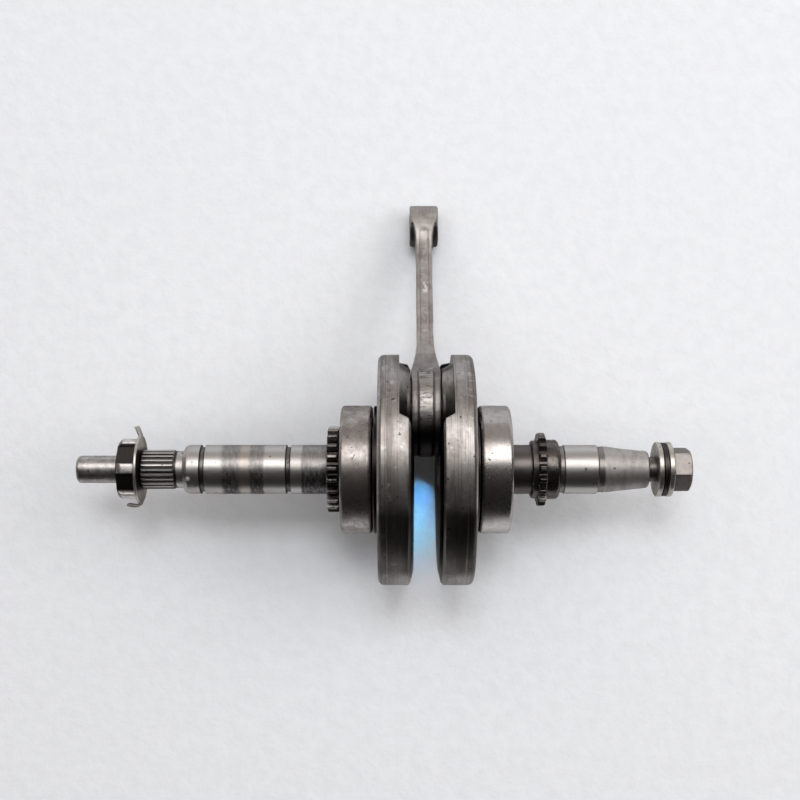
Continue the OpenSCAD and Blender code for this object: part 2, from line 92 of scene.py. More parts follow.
# Colours of single zones
JOURNAL = (0.60, 0.58, 0.565, 1)
RIM_BROWN = (0.25, 0.22, 0.205, 1)
RIM_BRIGHT = (0.68, 0.66, 0.645, 1)
RIM_SMEAR = (0.16, 0.14, 0.13, 1)
RIM_SCORE = (0.11, 0.095, 0.09, 1)
# Painted shade for the web rims' -y side
RIM_SHADE = (0.075, 0.068, 0.065, 1)
GOLDEN = (0.40, 0.33, 0.26, 1)
BURNT = (0.095, 0.087, 0.09, 1)
GROOVE = (0.09, 0.08, 0.075, 1)
SEAT = (0.11, 0.098, 0.093, 1)
# Darker colour for the two steps on the right end
STEP_DARK = (0.12, 0.10, 0.095, 1)
DROP = (0.95, 0.93, 0.92, 1)
PILOT = (0.22, 0.19, 0.178, 1)
TAPER_RUB = (0.27, 0.235, 0.22, 1)
SPROCKET_OIL = (0.095, 0.085, 0.08, 1)
NUT_LAND = (0.86, 0.82, 0.80, 1)
RACE_TINT = (0.34, 0.28, 0.24, 1)
RACE_FLECK = (0.07, 0.062, 0.06, 1)
RACE_CLOUD = (0.21, 0.175, 0.165, 1)
FORGED_PALE = (0.49, 0.465, 0.45, 1)
FORGED_DARK = (0.31, 0.28, 0.268, 1)
FORGED_STREAK = (0.54, 0.52, 0.51, 1)
SEAM = (0.13, 0.115, 0.108, 1)
CHALK = (0.74, 0.73, 0.72, 1)
RUB_MARK = (0.9, 0.89, 0.88, 1)
RIB_BRIGHT = (0.64, 0.61, 0.58, 1)
RIB_SCORE = (0.12, 0.105, 0.10, 1)
# Painted shade for the big end's underside
BIG_END_UNDER = (0.02, 0.018, 0.018, 1)
EYE_BROWN = (0.40, 0.37, 0.34, 1)
FLOOR_LOW = (0.682, 0.688, 0.708, 1)
FLOOR_HIGH = (0.712, 0.718, 0.738, 1)

# Zones as (low, high, softness) in millimetres along x, the rim's scores the same on both sides
RIM_SCORES = ((11.25, 11.5, 0.06), (15.9, 16.1, 0.06), (17.5, 17.9, 0.1))
BURNT_BANDS = ((-82.0, -74.9, 1.2), (-70.8, -65.2, 0.6), (-49.9, -39.0, 0.5))
GOLDEN_BAND = (-75.2, -70.4, 0.8)
OIL_GROOVES = ((-91.2, -89.0, 0.12), (-56.5, -54.3, 0.12))
SPLINE = (-116.2, -100.6, 0.3)
UNDERCUTS = ((-115.6, -115.0, 0.1), (-125.4, -123.0, 0.4))
WHEEL_SEAT = (33.9, 43.0, 0.3)
DARK_STEPS = ((53.6, 56.3, 0.15), (69.4, 72.2, 0.3))
TAPER = (72.3, 91, 0.3)
TAPER_RUBBED = (73, 90, 0.6)

# The white drop on the left journal: its middle in x and y
DROP_AT = (-95.4 * MM, -3.2 * MM)

# How far noise in rings is drawn out along the turn
RING_STRETCH = 0.0035


# ---------------------------------------------------------------- materials
class Graph:
    """A material's node tree, with short calls for the nodes that the finishes share."""

    def __init__(self, name):
        self.material = bpy.data.materials.new(name)
        self.material.use_nodes = True
        self.tree = self.material.node_tree
        self.tree.nodes.clear()
        self.output = self.node("ShaderNodeOutputMaterial")

    def node(self, kind, values=(), **settings):
        node = self.tree.nodes.new(kind)
        for key, value in settings.items():
            setattr(node, key, value)
        for key, value in dict(values).items():
            self.put(node.inputs[key], value)
        return node

    def put(self, socket, value):
        if isinstance(value, bpy.types.NodeSocket):
            self.tree.links.new(value, socket)
        else:
            socket.default_value = value

    def math(self, operation, a, b=0.0, clamp=False):
        node = self.node("ShaderNodeMath", {0: a, 1: b}, operation=operation, use_clamp=clamp)
        return node.outputs[0]

    def join(self, operation, values):
        total = values[0]
        for value in values[1:]:
            total = self.math(operation, total, value)
        return total

    def times(self, *values):
        return self.join("MULTIPLY", values)

    def plus(self, *values):
        return self.join("ADD", values)

    def either(self, *masks):
        return self.join("MAXIMUM", masks)

    def rest(self, mask):
        return self.math("SUBTRACT", 1.0, mask, clamp=True)

    def ramp(self, value, low, high, out_low=0.0, out_high=1.0):
        node = self.node("ShaderNodeMapRange", {0: value, 1: low, 2: high, 3: out_low, 4: out_high},
                         interpolation_type="SMOOTHSTEP")
        return node.outputs[0]

    def step(self, value, low, high, out_low=0.0, out_high=1.0):
        """A ramp whose two ends are given in millimetres."""
        return self.ramp(value, low * MM, high * MM, out_low, out_high)

    def band(self, value, place):
        """One from low to high, falling softly to zero outside; the place is in millimetres."""
        low, high, soft = place
        rise = self.step(value, low - soft, low + soft)
        fall = self.step(value, high - soft, high + soft, 1.0, 0.0)
        return self.times(rise, fall)

    def bands(self, value, places):
        return self.either(*[self.band(value, place) for place in places])

    def noise(self, vector, scale, detail=4.0, rough=0.6):
        node = self.node("ShaderNodeTexNoise", {"Vector": vector, "Scale": scale, "Detail": detail,
                                                "Roughness": rough})
        return node.outputs[0]

    def spots(self, vector, scale, detail, rough, *ends):
        """Noise passed through a ramp: scattered spots of that scale."""
        return self.ramp(self.noise(vector, scale, detail, rough), *ends)

    def mix(self, factor, a, b):
        node = self.node("ShaderNodeMix", data_type="RGBA")
        for index, value in ((0, factor), (6, a), (7, b)):
            self.put(node.inputs[index], value)
        return node.outputs[2]

    def tint(self, color, other, *masks):
        """The color turned to the other one by the product of the masks."""
        return self.mix(self.times(*masks), color, other)

    def dot(self, a, b):
        node = self.node("ShaderNodeVectorMath", {0: a, 1: b}, operation="DOT_PRODUCT")
        return node.outputs["Value"]

    def drawn_out(self, x, y, z):
        """The coordinates scaled, for noise drawn out where the scale is small."""
        node = self.node("ShaderNodeVectorMath", {0: self.coord, 1: (x, y, z)}, operation="MULTIPLY")
        return node.outputs[0]

    def position(self):
        self.coord = self.node("ShaderNodeTexCoord").outputs["Object"]
        split = self.node("ShaderNodeSeparateXYZ", {0: self.coord})
        self.x, self.y, self.z = split.outputs

    def distance(self, a, b):
        return self.math("SQRT", self.plus(self.times(a, a), self.times(b, b)))

    def polar(self, centre):
        """Radius and angle about an axis along X through the centre, given as y and z."""
        y = self.math("SUBTRACT", self.y, centre[0])
        z = self.math("SUBTRACT", self.z, centre[1])
        return self.distance(y, z), self.math("ARCTAN2", z, y)

    def edges(self, radius, samples=4):
        """Normal with rounded edges, and a mask of the convex and concave edges."""
        soft = self.node("ShaderNodeBevel", {"Radius": radius}, samples=samples).outputs[0]
        flat = self.node("ShaderNodeNewGeometry").outputs["Normal"]
        return soft, self.ramp(self.dot(soft, flat), 0.995, 0.86)

    def crevice(self, distance):
        """One deep in a gap between pieces, zero in the open."""
        ao = self.node("ShaderNodeAmbientOcclusion", {"Distance": distance}, samples=6).outputs["AO"]
        return self.ramp(ao, 0.75, 0.3)

    def bump(self, height, distance, normal, strength=1.0):
        node = self.node("ShaderNodeBump", {"Strength": strength, "Distance": distance, "Height": height})
        self.put(node.inputs["Normal"], normal)
        return node.outputs[0]

    def finish(self, color, rough, normal, metallic=1.0):
        shader = self.node("ShaderNodeBsdfPrincipled", {"Base Color": color, "Metallic": metallic,
                                                        "Roughness": rough, "Normal": normal})
        if metallic:
            self.put(shader.inputs["Specular Tint"], GRAZING)
        self.put(self.output.inputs[0], shader.outputs[0])
        return self.material


def turned_steel(name, base, rough, grime, edge_wear=0.6, crevice_oil_and_shade=0.7, dents=1.0, extra=None, centre=(0, 0),
                 bevel=0.35 * MM, lines=1.0):
    """Machined steel: ring marks, stains, pits, painted shade with oily dirt in crevices and edges worn
    bright.

    The extra function adds zones: it returns the color, the roughness and where edges stay unworn.
    """
    g = Graph(name)
    g.position()
    radius, angle = g.polar(centre)
    turn = g.node("ShaderNodeCombineXYZ", {0: g.x, 1: radius, 2: g.times(angle, RING_STRETCH)}).outputs[0]
    soft, edge = g.edges(bevel)
    grain = g.noise(g.coord, 620, 5, 0.65)
    rings = g.noise(turn, 2600, 3, 0.7)
    pits = g.spots(g.coord, 430, 2, 0.5, 0.68, 0.74)
    stained = g.math("MULTIPLY", g.spots(g.coord, 75, 6, 0.62, 0.46, 0.66), grime, clamp=True)
    color = g.mix(stained, base, STAIN)
    color = g.tint(color, OIL_AND_SHADE, g.ramp(grain, 0.5, 0.72), 0.4 * grime)
    roughness = g.plus(rough, g.times(grain, 0.12), g.times(stained, 0.14))
    worn = g.times(edge, g.spots(g.coord, 260, 3, 0.6, 0.35, 0.6, 0.25, edge_wear))
    if extra:
        color, roughness, calm = extra(g, radius, turn, color, roughness)
        worn = g.times(worn, g.rest(calm))
    color = g.tint(color, OIL_AND_SHADE, pits, 0.75)
    # Painted shade in crevices from ambient occlusion, standing also for oily dirt held there
    color = g.tint(color, OIL_AND_SHADE, g.crevice(5 * MM), crevice_oil_and_shade)
    color = g.mix(worn, color, WEAR_AND_REFLECTION)
    height = g.plus(g.times(rings, 0.5 * lines), g.times(grain, 0.35 * dents))
    height = g.math("SUBTRACT", height, g.times(pits, 0.9 * dents))
    return g.finish(color, roughness, g.bump(height, 0.018 * MM, soft))


def web_zones(g, radius, turn, color):
    """Mottled and scored web rims with painted shade on their -y side, and painted shade in the recesses
    and on the pads beside the bearings.
    """
    reach = g.math("ABSOLUTE", g.x)
    web = g.times(g.step(reach, 21.0, 20.6), g.step(radius, 13, 14))
    rim = g.times(web, g.step(radius, 45.2, 45.6))
    mottle = g.noise(turn, 120, 5, 0.7)
    color = g.tint(color, RIM_BROWN, rim, g.ramp(mottle, 0.42, 0.66, 0.0, 0.85))
    color = g.tint(color, RIM_BRIGHT, rim, g.spots(g.coord, 240, 5, 0.75, 0.54, 0.66, 0.0, 0.6))
    color = g.tint(color, RIM_SMEAR, rim, g.spots(turn, 420, 5, 0.8, 0.5, 0.62), 0.5)
    color = g.tint(color, RIM_SCORE, rim, g.bands(reach, RIM_SCORES), 0.5)
    # Painted shade: a dark band on the rims' -y side, broken up by the mottle
    rim_front_shade = g.times(g.band(g.y, (-40.5, -13, 3.0)), g.ramp(mottle, 0.3, 0.62, 1.0, 0.7))
    color = g.tint(color, RIM_SHADE, rim, rim_front_shade)
    # Painted shade in the recesses, lifted on the +y side by the sheen mask where the bare metal faces the
    # light
    sheen = g.times(g.step(g.y, 27, 33), g.spots(turn, 260, 4, 0.7, 0.35, 0.6, 0.35, 0.75))
    recess = g.times(g.step(reach, 10.9, 10.5), g.step(radius, 45.9, 45.3), g.rest(sheen))
    color = g.tint(color, OIL_AND_SHADE, recess, g.spots(g.coord, 150, 4, 0.6, 0.3, 0.6, 0.97, 0.84))
    # Painted shade on the pads, in the gap between web and bearing
    pad = g.times(g.step(reach, 18.9, 19.3), web, g.step(radius, 40, 34))
    return g.mix(pad, color, OIL_AND_SHADE), rim, pad


def journal_zones(g, turn, color, shift):
    """The left journal: heat-stained dark bands with a golden one between, weighted darker on the -y side
    as painted shade, and painted shade in the two lubrication grooves.
    """
    x = g.plus(g.x, shift)
    color = g.tint(color, GOLDEN, g.band(x, GOLDEN_BAND), 0.4)
    # The stains are real; their extra darkness on the -y side is painted shade
    burnt_and_shaded = g.times(g.bands(x, BURNT_BANDS), g.step(g.plus(g.y, shift), 4, -3, 0.6, 1.0))
    color = g.tint(color, BURNT, burnt_and_shaded, g.spots(turn, 900, 5, 0.8, 0.36, 0.58, 0.55, 1.0))
    # Painted shade in the two grooves
    grooves = g.bands(g.x, OIL_GROOVES)
    return g.tint(color, GROOVE, grooves, 0.8), burnt_and_shaded, grooves


def left_end_zones(g, radius, color, shift):
    """The left end: painted shade in the spline roots and undercuts, a white drop and a mottled pilot."""
    # Painted shade in the spline roots and in the undercuts
    roots = g.times(g.band(g.plus(g.x, shift), SPLINE), g.step(radius, 7.98, 7.6))
    color = g.tint(color, OIL_AND_SHADE, roots, 0.95)
    undercut = g.bands(g.x, UNDERCUTS)
    color = g.tint(color, OIL_AND_SHADE, undercut, 0.85)
    from_drop = g.distance(g.math("SUBTRACT", g.x, DROP_AT[0]), g.math("SUBTRACT", g.y, DROP_AT[1]))
    drop = g.times(g.step(from_drop, 1.15, 0.6), g.step(g.z, 0, 1))
    color = g.tint(color, DROP, drop, 0.8)
    pilot = g.times(g.step(g.x, -125, -127), g.spots(g.coord, 210, 5, 0.75, 0.38, 0.62))
    return g.tint(color, PILOT, pilot, 0.6), undercut, drop


def right_end_zones(g, turn, color):
    """The right end: a dark seat and steps, and a taper rubbed brown in patches."""
    color = g.tint(color, SEAT, g.band(g.x, WHEEL_SEAT), 0.9)
    # The two steps are made darker
    color = g.tint(color, STEP_DARK, g.bands(g.x, DARK_STEPS), 0.6)
    rubbed = g.times(g.band(g.x, TAPER_RUBBED), g.spots(turn, 230, 6, 0.75, 0.42, 0.66))
    return g.tint(color, TAPER_RUB, rubbed, 0.5), rubbed


def crank_zones(g, radius, turn, color, roughness):
    """What the crank halves wear: webs first, then the left journal and the two ends."""
    shift = g.times(g.math("SUBTRACT", g.noise(g.coord, 180, 3), 0.5), 1.6 * MM)
    journal = g.step(g.math("ABSOLUTE", g.x), 21.6, 22.0)
    color = g.tint(color, JOURNAL, journal, 0.6)
    color, rim, pad = web_zones(g, radius, turn, color)
    color, burnt_and_shaded, grooves = journal_zones(g, turn, color, shift)
    color, undercut, drop = left_end_zones(g, radius, color, shift)
    color, rubbed = right_end_zones(g, turn, color)
    roughness = g.plus(roughness, g.times(drop, 0.35), g.times(journal, 0.055),
                       g.times(g.band(g.x, TAPER), 0.2), g.times(g.either(rim, burnt_and_shaded, rubbed), 0.07))
    return color, roughness, g.either(pad, undercut, grooves)


def gear_zones(g, radius, turn, color, roughness):
    """The timing sprocket is black with oily dirt; the pump gear has painted shade only between its teeth.
    """
    sprocket = g.step(g.x, 0, 1)
    patch = g.spots(g.coord, 420, 4, 0.7, 0.42, 0.6, 0.9, 0.45)
    color = g.tint(color, SPROCKET_OIL, sprocket, patch)
    # Painted shade between the pump gear's teeth
    roots = g.times(g.step(g.x, 0, -1), g.step(radius, 16.0, 14.8))
    color = g.tint(color, OIL_AND_SHADE, roots, 0.8)
    return color, roughness, g.times(sprocket, 0.35)


def nut_zones(g, radius, turn, color, roughness):
    """Bright rubbed lands and painted shade in the slots."""
    land = g.step(radius, 12.7, 13.1)
    color = g.tint(color, NUT_LAND, land, g.spots(g.coord, 300, 4, 0.7, 0.36, 0.64, 0.95, 0.5))
    # Painted shade in the slots
    slot = g.times(g.step(radius, 12.4, 11.6), g.step(radius, 10.3, 10.6))
    return g.tint(color, OIL_AND_SHADE, slot, 0.9), roughness, slot


def washer_zones(g, radius, turn, color, roughness):
    """The tab washer has painted shade, with oily dirt, between its ears."""
    tab = g.step(g.x, -100, -101)
    middle = g.times(g.step(g.math("ABSOLUTE", g.y), 9.5, 7.5), g.step(radius, 13.75, 13.3))
    # Painted shade on the face between the ears, with oily dirt
    hidden = g.times(tab, middle)
    return g.tint(color, OIL_AND_SHADE, hidden, 0.93), roughness, hidden


def race_zones(g, radius, turn, color, roughness):
    """Bearing steel with brown tint, one deep scratch and scuffs on the outer races, and a painted floor
    reflection with flecks on their -y side.
    """
    outer = g.step(radius, 24.5, 25.2)
    color = g.tint(color, RACE_TINT, outer, g.spots(turn, 90, 3, 0.6, 0.4, 0.65, 0.0, 0.35))
    slanted = g.plus(g.x, g.times(g.y, -0.55))
    scratch = g.times(g.band(slanted, (-32.05, -31.65, 0.12)), g.band(g.y, (4.9, 7.2, 0.4)),
                      g.step(g.z, 0, 1))
    color = g.tint(color, OIL_AND_SHADE, scratch, 0.9)
    color = g.tint(color, STAIN, g.spots(g.coord, 520, 4, 0.8, 0.6, 0.68), outer, 0.45)
    # Painted reflection of the floor: the outer races' -y side made paler, with flecks in it
    low = g.times(outer, g.step(g.y, -18.5, -22))
    color = g.tint(color, RACE_FLECK, low, g.spots(g.coord, 360, 5, 0.75, 0.55, 0.62), 0.85)
    color = g.tint(color, WEAR_AND_REFLECTION, low, 0.75)
    cloud = g.times(g.step(g.x, 0, -1), outer, g.spots(g.coord, 130, 6, 0.75, 0.36, 0.66))
    color = g.tint(color, RACE_CLOUD, cloud, 0.75)
    roughness = g.plus(roughness, g.times(cloud, 0.16))
    return color, roughness, g.step(radius, 24.4, 24.0)


def beam_zones(g, ring, small, color):
    """The rod's beam: dark seams, chalky spots and one white rub mark."""
    reach = g.math("ABSOLUTE", g.x)
    beam = g.times(g.step(ring, 27, 31), g.step(small, 9, 13))
    color = g.tint(color, SEAM, beam, g.band(reach, (1.75, 2.0, 0.14)), 0.55)
    chalk = g.times(beam, g.step(reach, 1.7, 0.9), g.spots(g.coord, 330, 4, 0.75, 0.54, 0.66))
    color = g.tint(color, CHALK, chalk, 0.6)
    rubbed = g.times(g.band(g.y, (73.2, 77.8, 0.8)), g.band(g.x, (-0.9, 1.3, 0.5)))
    return g.tint(color, RUB_MARK, rubbed, g.spots(g.coord, 700, 3, 0.7, 0.42, 0.55), 0.85)


def big_end_zones(g, ring, pin, color):
    """The rod's big end: a scored rib, painted shade in the grooves beside it and a black underside of
    painted shade.
    """
    reach = g.math("ABSOLUTE", g.x)
    rib = g.times(g.step(reach, 2.8, 2.6), g.band(ring, (17.0, 18.6, 0.1)))
    scores = g.noise(g.drawn_out(0.15, 1.0, 1.0), 1300, 4, 0.8)
    color = g.tint(color, RIB_BRIGHT, rib, g.ramp(scores, 0.42, 0.56))
    color = g.tint(color, RIB_SCORE, rib, g.ramp(scores, 0.46, 0.36))
    # Painted shade in the grooves beside the rib
    groove = g.times(g.band(reach, (2.8, 3.6, 0.1)), g.step(ring, 18.2, 17.6))
    color = g.tint(color, OIL_AND_SHADE, groove, 0.55)
    # Painted shade on the big end's underside, below the pin
    below = g.math("SUBTRACT", pin[0] - 1.5 * MM, g.y)
    under = g.times(g.step(below, 0, 7), g.step(ring, 19, 18))
    color = g.tint(color, BIG_END_UNDER, under, 0.96)
    return g.tint(color, OIL_AND_SHADE, g.step(ring, 27, 18), 0.35), rib, scores


def forged_steel(name, pin, eye):
    """Shot-blasted forging: matte and grainy, with a worn rib round the big end and darker roots."""
    g = Graph(name)
    g.position()
    ring = g.polar(pin)[0]
    small = g.polar(eye)[0]
    soft, edge = g.edges(0.5 * MM)
    grain = g.noise(g.coord, 1500, 4, 0.7)
    streak = g.noise(g.drawn_out(1.0, 0.12, 0.12), 1500, 4, 0.7)
    color = g.mix(g.spots(g.coord, 110, 5, 0.65, 0.38, 0.68), FORGED_PALE, FORGED_DARK)
    color = g.mix(g.ramp(streak, 0.5, 0.66, 0.0, 0.6), color, FORGED_STREAK)
    color = beam_zones(g, ring, small, color)
    color, rib, scores = big_end_zones(g, ring, pin, color)
    color = g.tint(color, EYE_BROWN, g.step(small, 9.4, 8.2), 0.45)
    # Painted shade in the rod's crevices from ambient occlusion, with oily dirt held there
    color = g.tint(color, OIL_AND_SHADE, g.crevice(6 * MM), 0.75)
    color = g.tint(color, WEAR_AND_REFLECTION, edge, 0.4)
    # Painted shade on the small end's shaded side, picked out by the way its surfaces face
    along = (Vector(eye) - Vector(pin)).normalized()
    facing = g.dot(g.node("ShaderNodeTexCoord").outputs["Normal"], (0, -along.x, -along.y))
    color = g.tint(color, OIL_AND_SHADE, g.ramp(facing, 0.3, 0.6), g.step(small, 9.8, 9.2), 0.85)
    rough = g.plus(0.34, g.times(grain, 0.26))
    rough = g.math("SUBTRACT", rough, g.times(rib, 0.1))
    height = g.plus(grain, g.times(streak, 0.8), g.times(rib, scores, 1.4))
    return g.finish(color, rough, g.bump(height, 0.04 * MM, soft))


def steels():
    """A finish for each material slot of the record."""
    pin, eye = PIN_AT[1:], EYE_AT[1:]
    return {
        "crank_steel": turned_steel("crank_steel", BARE, rough=0.235, grime=0.5, edge_wear=0.4, dents=1.5,
                                    extra=crank_zones),
        "pin_steel": turned_steel("pin_steel", BARE, rough=0.16, grime=0.3, centre=pin),
        "plug_steel": turned_steel("plug_steel", PLUG, rough=0.34, grime=0.6, centre=pin),
        "rod_steel": forged_steel("rod_steel", pin, eye),
        "race_steel": turned_steel("race_steel", RACE, rough=0.2, grime=0.45, dents=0.45, extra=race_zones),
        "roller_steel": turned_steel("roller_steel", ROLLER, rough=0.08, grime=0.1, dents=0.2),
        "cage_steel": turned_steel("cage_steel", CAGE, rough=0.27, grime=0.4),
        "gear_steel": turned_steel("gear_steel", GEAR, rough=0.2, grime=0.85, edge_wear=0.85, crevice_oil_and_shade=0.9,
                                   extra=gear_zones, bevel=0.25 * MM),
        "washer_steel": turned_steel("washer_steel", WASHER, rough=0.3, grime=0.6, edge_wear=0.9, crevice_oil_and_shade=0.6,
                                     extra=washer_zones),
        "nut_steel": turned_steel("nut_steel", NUT, rough=0.33, grime=0.5, edge_wear=0.95, crevice_oil_and_shade=0.8,
                                  extra=nut_zones),
        "bolt_steel": turned_steel("bolt_steel", BOLT, rough=0.34, grime=0.7, edge_wear=0.8, crevice_oil_and_shade=0.85,
                                   dents=2.0, lines=0.3),
        "spring_steel": turned_steel("spring_steel", SPRING, rough=0.3, grime=0.6, edge_wear=0.3),
    }


def dress(obj, material):
    obj.data.materials.clear()
    obj.data.materials.append(material)


# ---------------------------------------------------------------- detailed pieces
def piece(name, mesh, node, body):
    """Adds a detailed piece that stands in for a CAD node and rides on its body."""
    obj = bpy.data.objects.new(name, mesh)
    bpy.context.scene.collection.objects.link(obj)
    mesh.polygons.foreach_set("use_smooth", [True] * len(mesh.polygons))
    mesh.set_sharp_from_angle(angle=SHARP_ANGLE)
    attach(obj, body)
    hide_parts(node)
    dress(obj, FINISHES[SLOT_OF[node]])


def turn_angles():
    return np.arange(SPIN_STEPS) * 2 * math.pi / SPIN_STEPS


def from_sixth(phase):
    """Each angle's distance from the nearest of six even directions, one of them at the phase."""
    sixth = math.pi / 3
    return (turn_angles() - phase + sixth / 2) % sixth - sixth / 2


def add_skin(bm, rings, looped=False):
    """Joins equal rings of vertices into a closed skin, capped at both ends unless it loops."""
    pairs = list(zip(rings, rings[1:]))
    if looped:
        pairs.append((rings[-1], rings[0]))
    for near, far in pairs:
        for k in range(len(near)):
            n = (k + 1) % len(near)
            bm.faces.new((near[k], near[n], far[n], far[k]))
    if not looped:
        bm.faces.new(rings[0])
        bm.faces.new(rings[-1])


def add_spun(bm, rows, looped):
    """Adds a closed skin through rows of (x, radius at each angle) about the crank's axis."""
    turn = turn_angles()
    rings = []
    for x, radii in rows:
        radii = np.broadcast_to(radii, turn.shape)
        points = zip(radii * np.cos(turn), radii * np.sin(turn))
        rings.append([bm.verts.new((x, y, z)) for y, z in points])
    add_skin(bm, rings, looped)


def add_strip(bm, path, half_width, half_thick, chamfer):
    """Adds a bent strip of sheet along a path of (x, y), as wide as 2 half_width in z."""
    w, t, c = half_width, half_thick, chamfer
    section = [(-t + c, -w), (t - c, -w), (t, -w + c), (t, w - c), (t - c, w), (-t + c, w), (-t, w - c),
               (-t, -w + c)]
    points = [Vector(p) for p in path]
    rings = []
    for i, point in enumerate(points):
        before, after = points[max(i - 1, 0)], points[min(i + 1, len(points) - 1)]
        along = (after - before).normalized()
        side = Vector((along.y, -along.x))
        rings.append([bm.verts.new((point.x + side.x * u, point.y + side.y * u, v)) for u, v in section])
    add_skin(bm, rings)


def bm_mesh(name, bm):
    bmesh.ops.recalc_face_normals(bm, faces=bm.faces)
    mesh = bpy.data.meshes.new(name)
    bm.to_mesh(mesh)
    bm.free()
    return mesh


def spun_mesh(name, rows, looped=True):
    bm = bmesh.new()
    add_spun(bm, rows, looped)
    return bm_mesh(name, bm)


def tooth_radii(count, root, tip, foot, crest, phase):
    """Radius of a toothed outline at each angle; foot and crest are shares of the pitch."""
    turn = (turn_angles() / (2 * math.pi) - phase / 360) * count
    across = np.abs((turn + 0.5) % 1 - 0.5)
    flank = (foot + crest) * 0.42
    fillet = 0.03
    return np.interp(across, [0, crest * 0.8, crest, flank, foot, foot + fillet, 0.5],
                     [tip, tip, tip - 0.15 * MM, (root + tip) / 2, root + 0.2 * MM, root, root])


def capped(radii, limit):
    return np.minimum(radii, limit)


def rounded_ends(x0, x1, reach, steps=3):
    """Places along x with how far the edge there is cut back, for an eased edge of that reach."""
    near = []
    for i in range(steps + 1):
        a = math.pi / 2 * i / steps
        near.append((x0 + reach * (1 - math.cos(a)), reach * (1 - math.sin(a))))
    far = [(x0 + x1 - x, cut) for x, cut in reversed(near)]
    return near + far


def oil_pump_gear():
    """Gear of 22 teeth with a plain hub on its outer side."""
    low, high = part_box("oil_pump_drive_gear")
    root, tip, hub = 14.4 * MM, 17.5 * MM, 13.9 * MM
    face = low.x + 4.6 * MM
    hub_ease, bore_ease, face_ease = 0.35 * MM, 0.3 * MM, 0.4 * MM
    radii = tooth_radii(22, root, tip, foot=0.36, crest=0.13, phase=4)
    rows = [(x, capped(radii, tip - cut)) for x, cut in rounded_ends(low.x, face, 0.75 * MM)]
    rows += [(face, hub), (high.x - hub_ease, hub), (high.x, hub - hub_ease),
             (high.x, WHEEL_BORE + bore_ease), (high.x - bore_ease, WHEEL_BORE),
             (low.x + face_ease, WHEEL_BORE), (low.x, WHEEL_BORE + face_ease)]
    return spun_mesh("oil_pump_gear", rows)


def timing_wheel():
    """Sprocket of 18 teeth between a collar and a hub with a rounded end."""
    low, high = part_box("timing_sprocket")
    root, tip, collar, hub = 12.4 * MM, 15 * MM, 11.8 * MM, 12.1 * MM
    disc_in, disc_out = low.x + 2.5 * MM, low.x + 5.7 * MM
    bore_ease, collar_ease, hub_round = 0.4 * MM, 0.5 * MM, 1.6 * MM
    radii = tooth_radii(18, root, tip, foot=0.36, crest=0.17, phase=5)
    rows = [(low.x, WHEEL_BORE + bore_ease), (low.x, collar - collar_ease), (low.x + collar_ease, collar),
            (disc_in, collar)]
    rows += [(x, capped(radii, tip - cut)) for x, cut in rounded_ends(disc_in, disc_out, 0.85 * MM)]
    rows += [(disc_out, hub)]
    rows += [(high.x - hub_round * (1 - math.sin(a)), hub - hub_round * (1 - math.cos(a)))
             for a in np.linspace(0, math.pi / 2, 7)]
    rows += [(high.x, WHEEL_BORE + bore_ease), (high.x - bore_ease, WHEEL_BORE),
             (low.x + bore_ease, WHEEL_BORE)]
    return spun_mesh("timing_wheel", rows)


def slotted_nut():
    """Round nut with six flat-bottomed slots for a hook spanner, its corners eased."""
    low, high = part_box("lock_nut")
    outer, floor, half_slot = 13.3 * MM, 10.7 * MM, 3.8 * MM
    wall_run, corner_run, corner_drop = 0.45 * MM, 0.4 * MM, 0.3 * MM
    bore_ease = 0.6 * MM
    chamfer = ((0.2, -1.7), (0.8, -1.05), (1.6, -0.45), (2.3, -0.12), (2.9, 0.0))
    off = from_sixth(math.radians(90 + 25))
    across = np.abs(np.tan(off)) * floor
    wall = np.clip((across - half_slot) / wall_run, 0, 1)
    corner = np.clip((across - half_slot - wall_run) / corner_run, 0, 1)
    radii = (floor / np.cos(off)) * (1 - wall) + (outer - corner_drop * (1 - corner)) * wall
    rows = [(low.x, NUT_BORE + bore_ease), (low.x, capped(radii, outer - 2.0 * MM))]
    rows += [(low.x + x * MM, capped(radii, outer + limit * MM)) for x, limit in chamfer]
    rows += [(high.x - 0.5 * MM, radii), (high.x - 0.15 * MM, capped(radii, outer - 0.15 * MM)),
             (high.x, capped(radii, outer - 0.5 * MM)), (high.x, NUT_BORE),
             (low.x + bore_ease, NUT_BORE)]
    return spun_mesh("slotted_nut", rows)


def left_of(heading):
    """Unit vector square to a heading in degrees, on its left."""
    a = math.radians(heading)
    return Vector((-math.sin(a), math.cos(a)))


def bend(start, heading, turn, radius, steps=7):
    """Points of a bend that starts at start, heading in degrees, and turns by turn degrees."""
    arm = radius if turn > 0 else -radius
    centre = Vector(start) + arm * left_of(heading)
    return [centre - arm * left_of(heading + turn * i / steps) for i in range(steps + 1)]


